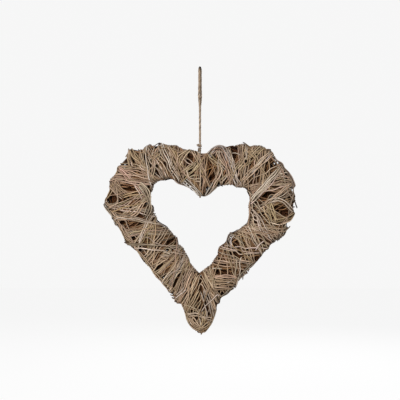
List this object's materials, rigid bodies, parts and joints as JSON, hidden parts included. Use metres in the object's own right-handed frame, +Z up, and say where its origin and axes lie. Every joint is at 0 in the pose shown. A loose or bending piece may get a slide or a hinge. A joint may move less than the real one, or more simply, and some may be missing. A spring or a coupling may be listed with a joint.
{
  "type": "vine heart wreath",
  "caption": "Open heart-shaped wreath of thin dried vine wound round two heart-shaped wires, with a twine loop to hang it by.",
  "frame": {"origin": "inner top of the hanging loop, where the hook or nail that carries it bears", "axes": "+Z up towards the hook, -Y is the front of the heart, +X is to the right seen from the front"},
  "size_m": [0.2956, 0.0519, 0.4116],
  "materials": {
    "vine": "dry, matt, unvarnished vine with fine lengthwise fibres",
    "frame_wire": "dark annealed iron wire, satin, slightly uneven",
    "twine": "two-ply jute, dry and a little hairy"
  },
  "bodies": {
    "root": {"vine_winding": "vine", "outer_wire": "frame_wire", "inner_wire": "frame_wire", "hanging_loop": "twine", "loop_knot": "twine", "twine_tie": "twine"}
  },
  "joints": []
}
